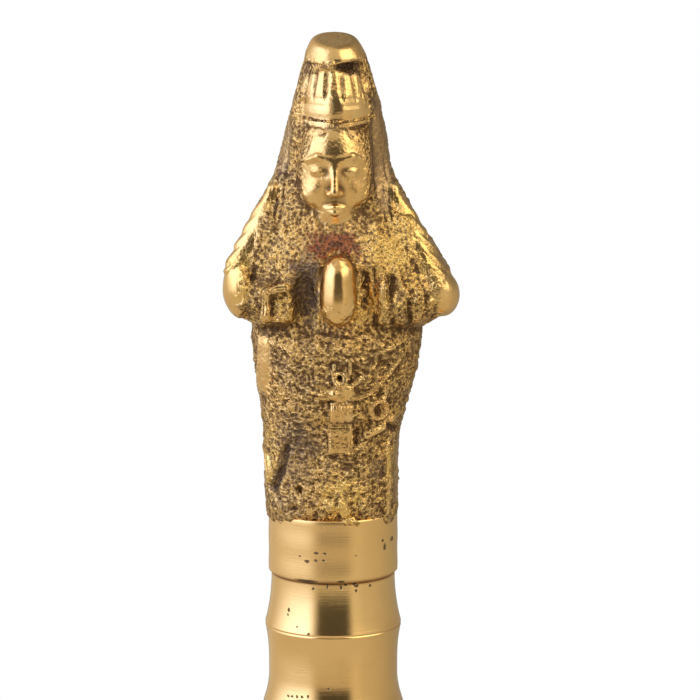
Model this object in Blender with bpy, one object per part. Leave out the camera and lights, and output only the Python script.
"""A brass puja hand bell: a cast praying figure on a turned grip, clamped to a turned bell.

Metres, +Z up. The origin is the centre of the bell's mouth, where the bell stands, and the figure
faces -Y. Every joint is a screwed or hung one, so each piece below comes apart on a bench:
the figure's casting, its stud, the grip, the bell, the washer, nut and eye bolt that clamp the
bell to the grip, and the link, rod and ball that hang from the eye.
"""

import math

import bmesh
import bpy
from mathutils import Matrix, Vector

MM = 0.001
QUARTER_TURN = math.pi / 2

# Driving dimensions
MOUTH_RADIUS = 37.0 * MM
BELL_HEIGHT = 62.0 * MM
GRIP_LENGTH = 50.0 * MM
COLLAR_RADIUS = 6.4 * MM
COLLAR_HEIGHT = 5.5 * MM
FIT_GAP = 0.3 * MM  # left between faces that touch on the real bell
SCREW_GAP = 0.2 * MM  # left round a screw, rod or wire

# The bell: a trumpet flare under an elliptical shoulder, with raised rings
BODY_RADIUS = 24.6 * MM
FLARE_LENGTH = 11.0 * MM
SHOULDER_HEIGHT = 40.0 * MM
PAD_RADIUS = 10.4 * MM
PAD_THICKNESS = 2.2 * MM
WALL = 2.7 * MM
SOUND_BOW = 1.1 * MM  # how much thicker the wall is at the lip
CROWN_INSIDE = 57.0 * MM
CROWN_FLAT_RADIUS = 7.5 * MM
LIP_HEIGHT = 3.0 * MM
LIP_EDGE = 0.6 * MM
FLANK_HEIGHTS = (4.6 * MM, 10.5 * MM, 14 * MM, 18.5 * MM, 22.5 * MM, 34.5 * MM)  # between the rings
INNER_HEIGHTS = (30 * MM, 22 * MM, 15 * MM, 10 * MM, 6 * MM, 3 * MM, 0)
BELL_RINGS = (  # centre height, half width and rise of each raised ring
    (7.4 * MM, 0.9 * MM, 0.7 * MM),
    (26.0 * MM, 0.8 * MM, 0.5 * MM),
    (28.6 * MM, 1.2 * MM, 0.9 * MM),
    (31.2 * MM, 0.8 * MM, 0.5 * MM),
    (38.0 * MM, 0.9 * MM, 0.7 * MM),
)

# The grip, measured up from its foot
FOOT_RADIUS = 9.3 * MM
FOOT_THICKNESS = 1.6 * MM
LOW_RING = (6.2 * MM, 8.8 * MM, 5.9 * MM)  # lower edge, upper edge and radius at both edges
BULB_BASE = 9.4 * MM
BULB_TOP = 26.8 * MM
BULB_NECK_RADIUS = 5.0 * MM
BULB_RADIUS = 8.1 * MM
HIGH_RING = (27.6 * MM, 30.2 * MM, 6.3 * MM)
FOOT_EDGE = 0.4 * MM
FOOT_HOLLOW = ((6.2 * MM, 2.2 * MM), (5.2 * MM, 4.0 * MM))  # what pulls the hollow over the foot
NECK = (5.3 * MM, 6.0 * MM)  # radius and height where that hollow ends
CANE_BASE = (6.0 * MM, 31.0 * MM)  # radius and height where the cane-like part starts
CANE_JOINTS = (  # each hollow flank: its waist radius, its top edge, its ridge, the next flank's edge
    (6.1 * MM, (6.9 * MM, 35.7 * MM), (7.05 * MM, 36.7 * MM), (7.0 * MM, 37.0 * MM)),
    (6.2 * MM, (6.68 * MM, 43.6 * MM), (6.82 * MM, 44.6 * MM), (6.8 * MM, 45.0 * MM)),
)
CANE_TOP = (6.15 * MM, 48.2 * MM)
CANE_TOP_WAIST = 6.2 * MM

# Screws and their holes
STUD_RADIUS = 2.5 * MM
STUD_LENGTH = 15.0 * MM
STUD_HOLE_DEPTH = 8.5 * MM
BOLT_HOLE_DEPTH = 13.0 * MM
BOLT_REACH = 12.0 * MM  # how far the eye bolt goes up into the grip
SCREW_CHAMFER = 0.5 * MM
WASHER_RADIUS = 5.6 * MM
WASHER_THICKNESS = 0.8 * MM
NUT_ACROSS_FLATS = 8.0 * MM
NUT_THICKNESS = 2.7 * MM

# The clapper and what it hangs from
EYE_RADIUS = 3.2 * MM  # to the middle of the wire
EYE_WIRE = 1.2 * MM
LINK_WIRE = 0.9 * MM
LINK_GAP = 5.2 * MM  # between the wire the link hangs from and the wire that hangs from it
CLAPPER_EYE_WIRE = 1.1 * MM
ROD_RADIUS = 1.6 * MM
BALL_RADIUS = 8.5 * MM
BALL_HEIGHT = 12.0 * MM
RIVET_RADIUS = 2.7 * MM
RIVET_HEIGHT = 1.1 * MM

# Places that follow from the sizes above
GRIP_BASE = BELL_HEIGHT + FIT_GAP
FINIAL_BASE = GRIP_BASE + GRIP_LENGTH + FIT_GAP
WASHER_TOP = CROWN_INSIDE - FIT_GAP
NUT_TOP = WASHER_TOP - WASHER_THICKNESS - FIT_GAP
EYE_HEIGHT = NUT_TOP - NUT_THICKNESS - FIT_GAP - EYE_RADIUS - EYE_WIRE / 2
LINK_PIVOT = EYE_HEIGHT - EYE_RADIUS
LINK_TOP_RADIUS = EYE_WIRE + LINK_WIRE + SCREW_GAP
CLAPPER_PIVOT = LINK_PIVOT - LINK_GAP
CLAPPER_EYE_RADIUS = LINK_WIRE + CLAPPER_EYE_WIRE + SCREW_GAP

# The figure, measured up from the foot of its collar: height, middle, half width, front and back
ROBE = (
    (5.3, -0.05, 6.40, 6.3, 6.3),
    (8.0, -0.05, 6.60, 6.2, 6.2),
    (12.5, -0.10, 6.70, 6.2, 6.1),
    (16.0, -0.15, 7.10, 6.3, 6.1),
    (19.5, -0.05, 7.85, 6.5, 6.2),
    (22.5, 0.25, 8.60, 6.6, 6.2),
    (26.0, 0.30, 8.80, 6.6, 6.1),
)
MANTLE = (
    (24.9, 0.35, 8.7, 6.6, 6.0),
    (26.3, 0.60, 10.2, 7.0, 6.1),
    (28.6, 0.80, 11.3, 7.0, 6.1),
    (32.3, 0.50, 10.3, 6.6, 6.0),
    (35.6, 0.25, 8.6, 5.8, 5.9),
    (38.0, 0.15, 7.2, 5.3, 5.7),
    (41.3, 0.10, 5.5, 4.6, 5.2),
)
CROWN = (
    (36.0, 0.10, 5.6, 4.8, 5.6),
    (40.0, 0.20, 5.8, 4.9, 5.3),
    (43.0, 0.30, 5.4, 4.8, 5.0),
    (46.2, 0.35, 4.8, 4.5, 4.6),
    (49.4, 0.35, 4.0, 3.8, 3.9),
    (51.9, 0.30, 3.2, 3.1, 3.1),
    (53.4, 0.20, 2.6, 2.5, 2.5),
    (54.2, 0.10, 1.6, 1.5, 1.5),
)
FIGURE_BALLS = (  # centre and half sizes of the rounded forms that stand out of the robe
    ((0.30, -3.2, 40.4), (4.1, 3.3, 5.0)),  # face
    ((0.90, -7.0, 28.9), (2.1, 2.6, 4.0)),  # joined hands
)
FIGURE_LIMBS = (  # from, radius there, to, radius there
    ((-7.0, 0.3, 34.4), 2.7, (-8.6, -1.6, 28.9), 2.3),  # right upper arm
    ((7.6, 0.3, 34.4), 2.7, (10.3, -1.6, 28.7), 2.3),  # left upper arm
    ((-8.35, -2.0, 28.75), 2.45, (-1.8, -6.0, 27.9), 2.0),  # right forearm
    ((10.0, -2.0, 28.55), 2.45, (3.6, -6.0, 27.9), 2.0),  # left forearm
)
SECTION_SHAPE = 2.3  # 2 is an ellipse, and more is squarer

# How finely round things are cut
TURNED_STEPS = 48
GRIP_STEPS = 32
SMALL_STEPS = 24
FIGURE_STEPS = 28
SHARP_ANGLE = math.radians(32)


def clear_scene():
    for obj in list(bpy.data.objects):
        bpy.data.objects.remove(obj, do_unlink=True)


def brass(name, colour, roughness, metallic=1.0):
    material = bpy.data.materials.new(name)
    material.use_nodes = True
    shader = material.node_tree.nodes["Principled BSDF"]
    shader.inputs["Base Color"].default_value = (*colour, 1.0)
    shader.inputs["Roughness"].default_value = roughness
    shader.inputs["Metallic"].default_value = metallic
    return material


def make_object(name, bm, material, origin=(0, 0, 0)):
    """Closes the bmesh into an object whose origin is the given world point."""
    bmesh.ops.remove_doubles(bm, verts=bm.verts, dist=0.0005 * MM)
    bmesh.ops.recalc_face_normals(bm, faces=bm.faces)
    bmesh.ops.translate(bm, verts=bm.verts, vec=-Vector(origin))
    mesh = bpy.data.meshes.new(name)
    bm.to_mesh(mesh)
    bm.free()
    mesh.shade_smooth()
    mesh.set_sharp_from_angle(angle=SHARP_ANGLE)
    mesh.materials.append(material)
    obj = bpy.data.objects.new(name, mesh)
    obj.location = origin
    bpy.context.scene.collection.objects.link(obj)
    return obj


def turned(outline, steps=TURNED_STEPS):
    """Spins an outline of (radius, height) points round the Z axis."""
    bm = bmesh.new()
    verts = [bm.verts.new((radius, 0, height)) for radius, height in outline]
    edges = [bm.edges.new(pair) for pair in zip(verts, verts[1:])]
    if outline[0][0] > 0:
        edges.append(bm.edges.new((verts[-1], verts[0])))
    bmesh.ops.spin(
        bm,
        geom=verts + edges,
        cent=(0, 0, 0),
        axis=(0, 0, 1),
        angle=2 * math.pi,
        steps=steps,
        use_merge=True,
    )
    return bm


def curve(start, pull_start, pull_end, end, steps):
    """Points of a cubic curve, without its first one."""
    a, b, c, d = (Vector(p) for p in (start, pull_start, pull_end, end))
    points = []
    for i in range(1, steps + 1):
        t = i / steps
        s = 1 - t
        points.append(tuple(s**3 * a + 3 * s * s * t * b + 3 * s * t * t * c + t**3 * d))
    return points


def half_round(low, high, radius, steps=5):
    """A half-round ring between two heights, standing out of a radius."""
    middle, half = (low + high) / 2, (high - low) / 2
    return [
        (
            radius + half * math.sin(math.pi * i / steps),
            middle - half * math.cos(math.pi * i / steps),
        )
        for i in range(steps + 1)
    ]


def ball(centre, half_sizes, steps=20, rings=12):
    bm = bmesh.new()
    place = Matrix.Translation(centre) @ Matrix.Diagonal((*half_sizes, 1))
    bmesh.ops.create_uvsphere(bm, u_segments=steps, v_segments=rings, radius=1, matrix=place)
    return bm


def limb(start, start_radius, end, end_radius):
    """A tapered rod with round ends: the hull of a ball's points at each end."""
    bm = ball(start, [start_radius] * 3, 12, 8)
    place = Matrix.Translation(end)
    bmesh.ops.create_uvsphere(bm, u_segments=12, v_segments=8, radius=end_radius, matrix=place)
    bmesh.ops.delete(bm, geom=bm.edges, context="EDGES_FACES")
    hull = bmesh.ops.convex_hull(bm, input=bm.verts)
    inner = {item for item in hull["geom_interior"] if isinstance(item, bmesh.types.BMVert)}
    bmesh.ops.delete(bm, geom=list(inner), context="VERTS")
    return bm


def cylinder(radius, low, high, steps=SMALL_STEPS):
    bm = bmesh.new()
    place = Matrix.Translation((0, 0, (low + high) / 2))
    bmesh.ops.create_cone(
        bm,
        cap_ends=True,
        segments=steps,
        radius1=radius,
        radius2=radius,
        depth=high - low,
        matrix=place,
    )
    return bm


def helper(name, bm):
    """An object that only shapes others: a Boolean's second half."""
    obj = make_object(name, bm, HELPER_MATERIAL)
    obj.hide_render = True
    obj.display_type = "WIRE"
    return obj


def boolean(obj, other, operation):
    modifier = obj.modifiers.new(other.name, "BOOLEAN")
    modifier.operation = operation
    modifier.solver = "EXACT"
    modifier.object = other


def place_helper(other, obj):
    """Gives the helper the same parent place as the piece it shapes."""
    other.location = Vector(other.location) + Vector(obj.location)


# The bell


def flank_radius(height):
    return BODY_RADIUS + (MOUTH_RADIUS - BODY_RADIUS) * math.exp(-height / FLARE_LENGTH)


def ringed_radius(height):
    """The bell's outer radius, with whichever raised ring crosses this height."""
    radius = flank_radius(height)
    for centre, half_width, rise in BELL_RINGS:
        off = abs(height - centre) / half_width
        if off < 1:
            radius += rise * math.sqrt(1 - off * off)
    return radius


def bell_heights():
    """Heights up the flank: some between the rings, and four across each raised ring."""
    heights = {LIP_HEIGHT, *FLANK_HEIGHTS}
    for centre, half_width, _ in BELL_RINGS:
        heights |= {centre + half_width * part for part in (-1, -0.55, 0.55, 1)}
    return sorted(heights)


def dome(radius, inner_radius, low, high, steps):
    """A quarter of an ellipse from a vertical wall over to a flat top."""
    return [
        (
            inner_radius + (radius - inner_radius) * math.cos(QUARTER_TURN * i / steps),
            low + (high - low) * math.sin(QUARTER_TURN * i / steps),
        )
        for i in range(steps + 1)
    ]


def bell_outline():
    outside = [
        (MOUTH_RADIUS - LIP_EDGE, 0),
        (MOUTH_RADIUS, LIP_EDGE),
        (MOUTH_RADIUS, LIP_HEIGHT - LIP_EDGE),
    ]
    outside += [(ringed_radius(height), height) for height in bell_heights()]
    dome_top = BELL_HEIGHT - PAD_THICKNESS
    outside += dome(flank_radius(SHOULDER_HEIGHT), PAD_RADIUS, SHOULDER_HEIGHT, dome_top, 7)
    outside += [(PAD_RADIUS, BELL_HEIGHT - LIP_EDGE), (PAD_RADIUS - LIP_EDGE, BELL_HEIGHT)]
    hole = STUD_RADIUS + SCREW_GAP
    inside = [(hole, BELL_HEIGHT), (hole, CROWN_INSIDE)]
    inner_shoulder = flank_radius(SHOULDER_HEIGHT) - WALL
    inside += dome(
        inner_shoulder, CROWN_FLAT_RADIUS, SHOULDER_HEIGHT - WALL, CROWN_INSIDE, 6
    )[::-1]
    for height in INNER_HEIGHTS:
        thickness = WALL + SOUND_BOW * math.exp(-height / (LIP_HEIGHT * 2))
        inside.append((flank_radius(height) - thickness, height))
    return outside + inside


def make_bell_cup():
    return make_object("bell_cup", turned(bell_outline()), BELL_BRASS)


# The handle


def hollow_flank(start, waist_radius, end):
    """The hollow flank between two ridges of the grip, after its first point."""
    third = (end[1] - start[1]) / 3
    pull_start = (waist_radius, start[1] + third)
    return curve(start, pull_start, (waist_radius, end[1] - third), end, 4)


def bulb():
    points = []
    steps = 9
    for i in range(steps + 1):
        t = i / steps
        swell = math.sin(math.pi * t**0.85) ** 1.4
        radius = BULB_NECK_RADIUS + (BULB_RADIUS - BULB_NECK_RADIUS) * swell
        points.append((radius, BULB_BASE + (BULB_TOP - BULB_BASE) * t))
    return points


def grip_outline():
    hole = STUD_RADIUS + SCREW_GAP
    outline = [(0, BOLT_HOLE_DEPTH), (hole, BOLT_HOLE_DEPTH), (hole, 0)]
    outline += [(FOOT_RADIUS - FOOT_EDGE, 0), (FOOT_RADIUS, FOOT_EDGE)]
    outline += [(FOOT_RADIUS, FOOT_THICKNESS)]
    outline += curve((FOOT_RADIUS - FOOT_EDGE, FOOT_THICKNESS), *FOOT_HOLLOW, NECK, 4)
    outline += half_round(*LOW_RING)
    outline += bulb()
    outline += half_round(*HIGH_RING)
    edge = CANE_BASE
    for waist_radius, top, ridge, next_edge in CANE_JOINTS:
        outline += [edge] + hollow_flank(edge, waist_radius, top) + [ridge]
        edge = next_edge
    outline += [edge] + hollow_flank(edge, CANE_TOP_WAIST, CANE_TOP)
    outline += [(CANE_TOP[0], GRIP_LENGTH)]
    hole_end = GRIP_LENGTH - STUD_HOLE_DEPTH
    return outline + [(hole, GRIP_LENGTH), (hole, hole_end), (0, hole_end)]


def make_handle_grip():
    grip = make_object("handle_grip", turned(grip_outline(), GRIP_STEPS), TURNED_BRASS)
    grip.location.z = GRIP_BASE
    return grip


def screw(radius, low, high):
    """A plain screw blank with chamfered ends, as a bmesh."""
    outline = [
        (0, low),
        (radius - SCREW_CHAMFER, low),
        (radius, low + SCREW_CHAMFER),
        (radius, high - SCREW_CHAMFER),
        (radius - SCREW_CHAMFER, high),
        (0, high),
    ]
    return turned(outline, SMALL_STEPS)


def make_finial_stud():
    middle = FINIAL_BASE - FIT_GAP / 2
    bm = screw(STUD_RADIUS, middle - STUD_LENGTH / 2, middle + STUD_LENGTH / 2)
    return make_object("finial_stud", bm, FITTING_BRASS, (0, 0, middle))


# The figure


def section(height, middle, half_width, front, back):
    """One level of the figure: a squared oval, deeper or shallower to the front."""
    points = []
    for i in range(FIGURE_STEPS):
        angle = 2 * math.pi * i / FIGURE_STEPS
        c, s = math.cos(angle), math.sin(angle)
        power = 2 / SECTION_SHAPE
        x = middle + half_width * math.copysign(abs(c) ** power, c)
        depth = back if s > 0 else front
        y = depth * math.copysign(abs(s) ** power, s)
        points.append(Vector((x, y, height)) * MM)
    return points


def loft(levels):
    """A closed skin over the levels, flat at both ends."""
    bm = bmesh.new()
    loops = [[bm.verts.new(p) for p in section(*level)] for level in levels]
    for low, high in zip(loops, loops[1:]):
        for i in range(FIGURE_STEPS):
            j = (i + 1) % FIGURE_STEPS
            bm.faces.new((low[i], low[j], high[j], high[i]))
    bm.faces.new(loops[0][::-1])
    bm.faces.new(loops[-1])
    return bm


def make_figure_finial():
    """The figure and its collar, cast in one and turned below."""
    edge = 0.35 * MM
    collar = [
        (0, 0),
        (COLLAR_RADIUS - edge, 0),
        (COLLAR_RADIUS, edge),
        (COLLAR_RADIUS, COLLAR_HEIGHT),
        (0, COLLAR_HEIGHT),
    ]
    finial = make_object("figure_finial", turned(collar, GRIP_STEPS), CAST_BRASS)
    finial.location.z = FINIAL_BASE
    masses = [helper("robe_mass", loft(ROBE))]
    masses.append(helper("mantle_mass", loft(MANTLE)))
    masses.append(helper("crown_mass", loft(CROWN)))
    for i, (centre, half_sizes) in enumerate(FIGURE_BALLS):
        bm = ball(Vector(centre) * MM, Vector(half_sizes) * MM, 16, 10)
        masses.append(helper(f"rounded_mass_{i}", bm))
    for i, (start, start_radius, end, end_radius) in enumerate(FIGURE_LIMBS):
        bm = limb(Vector(start) * MM, start_radius * MM, Vector(end) * MM, end_radius * MM)
        masses.append(helper(f"limb_mass_{i}", bm))
    for mass in masses:
        place_helper(mass, finial)
        boolean(finial, mass, "UNION")
    cutter = helper("stud_hole", cylinder(STUD_RADIUS + SCREW_GAP, -1 * MM, STUD_HOLE_DEPTH))
    place_helper(cutter, finial)
    boolean(finial, cutter, "DIFFERENCE")
    return finial


# What clamps the bell to the grip


def make_crown_washer():
    low = WASHER_TOP - WASHER_THICKNESS
    hole = STUD_RADIUS + SCREW_GAP
    outline = [(hole, low), (WASHER_RADIUS, low), (WASHER_RADIUS, WASHER_TOP), (hole, WASHER_TOP)]
    return make_object("crown_washer", turned(outline, SMALL_STEPS), FITTING_BRASS)


def make_lock_nut():
    corner_radius = NUT_ACROSS_FLATS / 2 / math.cos(math.pi / 6)
    low = NUT_TOP - NUT_THICKNESS
    nut = make_object("lock_nut", cylinder(corner_radius, low, NUT_TOP, 6), FITTING_BRASS)
    hole = cylinder(STUD_RADIUS + SCREW_GAP, low - MM, NUT_TOP + MM)
    boolean(nut, helper("nut_hole", hole), "DIFFERENCE")
    return nut


def ring(radius, wire, centre, steps=24, wire_steps=8):
    """A wire ring standing upright, with its hole facing along Y, as a bmesh."""
    bm = bmesh.new()
    place = Matrix.Translation(centre)
    loops = []
    for i in range(steps):
        a = 2 * math.pi * i / steps
        out = Vector((math.cos(a), 0, math.sin(a)))
        loop = []
        for j in range(wire_steps):
            b = 2 * math.pi * j / wire_steps
            point = out * (radius + wire * math.cos(b)) + Vector((0, wire * math.sin(b), 0))
            loop.append(bm.verts.new(place @ point))
        loops.append(loop)
    for i in range(steps):
        near, far = loops[i], loops[(i + 1) % steps]
        for j in range(wire_steps):
            k = (j + 1) % wire_steps
            bm.faces.new((near[j], near[k], far[k], far[j]))
    return bm


def make_eye_bolt():
    """The shank clamps the bell through the nut, and its eye holds the clapper's link."""
    low = EYE_HEIGHT + EYE_RADIUS
    shank = screw(STUD_RADIUS, low - EYE_WIRE / 2, GRIP_BASE + BOLT_REACH)
    bolt = make_object("eye_bolt", shank, FITTING_BRASS)
    eye = ring(EYE_RADIUS, EYE_WIRE, (0, 0, EYE_HEIGHT))
    boolean(bolt, helper("eye_ring", eye), "UNION")
    return bolt


# The clapper


def make_clapper_link():
    """A wire link in the YZ plane: each round end wraps the wire that it turns on."""
    steps = 10
    points = []
    low_radius = CLAPPER_EYE_RADIUS
    ends = (
        (LINK_PIVOT, LINK_TOP_RADIUS, 0),
        (CLAPPER_PIVOT + low_radius, low_radius, math.pi),
    )
    for height, radius, turn in ends:
        for i in range(steps + 1):
            a = turn + math.pi * i / steps
            points.append((0, radius * math.cos(a), height + radius * math.sin(a)))
    data = bpy.data.curves.new("clapper_link", "CURVE")
    data.dimensions = "3D"
    data.bevel_depth = LINK_WIRE
    data.bevel_resolution = 2
    spline = data.splines.new("POLY")
    spline.points.add(len(points) - 1)
    for point, place in zip(spline.points, points):
        point.co = (place[0], place[1], place[2] - LINK_PIVOT, 1)
    spline.use_cyclic_u = True
    data.materials.append(WIRE_BRASS)
    link = bpy.data.objects.new("clapper_link", data)
    link.location = (0, 0, LINK_PIVOT)
    bpy.context.scene.collection.objects.link(link)
    return link


def make_clapper_rod():
    """The rod has an eye at its top, runs down through the ball and ends in a rivet head."""
    rivet_top = BALL_HEIGHT - BALL_RADIUS
    rivet_low = rivet_top - RIVET_HEIGHT
    rod_top = CLAPPER_PIVOT - CLAPPER_EYE_RADIUS
    outline = [
        (0, rivet_low),
        (RIVET_RADIUS * 0.6, rivet_low + 0.15 * MM),
        (RIVET_RADIUS, rivet_top - FIT_GAP),
        (ROD_RADIUS, rivet_top - FIT_GAP),
        (ROD_RADIUS, rod_top - 1.5 * MM),
        (ROD_RADIUS * 0.8, rod_top + CLAPPER_EYE_WIRE / 2),
        (0, rod_top + CLAPPER_EYE_WIRE / 2),
    ]
    pivot = (0, 0, CLAPPER_PIVOT)
    rod = make_object("clapper_rod", turned(outline, 16), WIRE_BRASS, pivot)
    eye = ring(CLAPPER_EYE_RADIUS, CLAPPER_EYE_WIRE, pivot)
    boolean(rod, helper("clapper_eye", eye), "UNION")
    return rod


def make_clapper_ball():
    """A turned ball, drilled for the rod, with small flats where the drill came through."""
    hole = ROD_RADIUS + SCREW_GAP
    flat = math.asin((RIVET_RADIUS + FIT_GAP) / BALL_RADIUS)
    steps = 12
    outline = []
    for i in range(steps + 1):
        angle = flat + (math.pi - 2 * flat) * i / steps
        radius = BALL_RADIUS * math.sin(angle)
        outline.append((radius, BALL_HEIGHT - BALL_RADIUS * math.cos(angle)))
    low, high = outline[0][1], outline[-1][1]
    outline = [(hole, low)] + outline + [(hole, high)]
    return make_object("clapper_ball", turned(outline, SMALL_STEPS), BALL_BRASS, (0, 0, CLAPPER_PIVOT))


clear_scene()
HELPER_MATERIAL = brass("helper", (0.5, 0.5, 0.5), 0.5)
CAST_BRASS = brass("cast_brass", (0.60, 0.42, 0.16), 0.42)
TURNED_BRASS = brass("turned_brass", (0.83, 0.62, 0.28), 0.16)
BELL_BRASS = brass("bell_brass", (0.83, 0.61, 0.27), 0.14)
FITTING_BRASS = brass("fitting_brass", (0.68, 0.50, 0.22), 0.34)
WIRE_BRASS = brass("wire_brass", (0.62, 0.45, 0.19), 0.38)
BALL_BRASS = brass("ball_brass", (0.76, 0.56, 0.24), 0.24)

make_bell_cup()
make_handle_grip()
make_finial_stud()
make_figure_finial()
make_crown_washer()
make_lock_nut()
make_eye_bolt()
make_clapper_link()
make_clapper_rod()
make_clapper_ball()
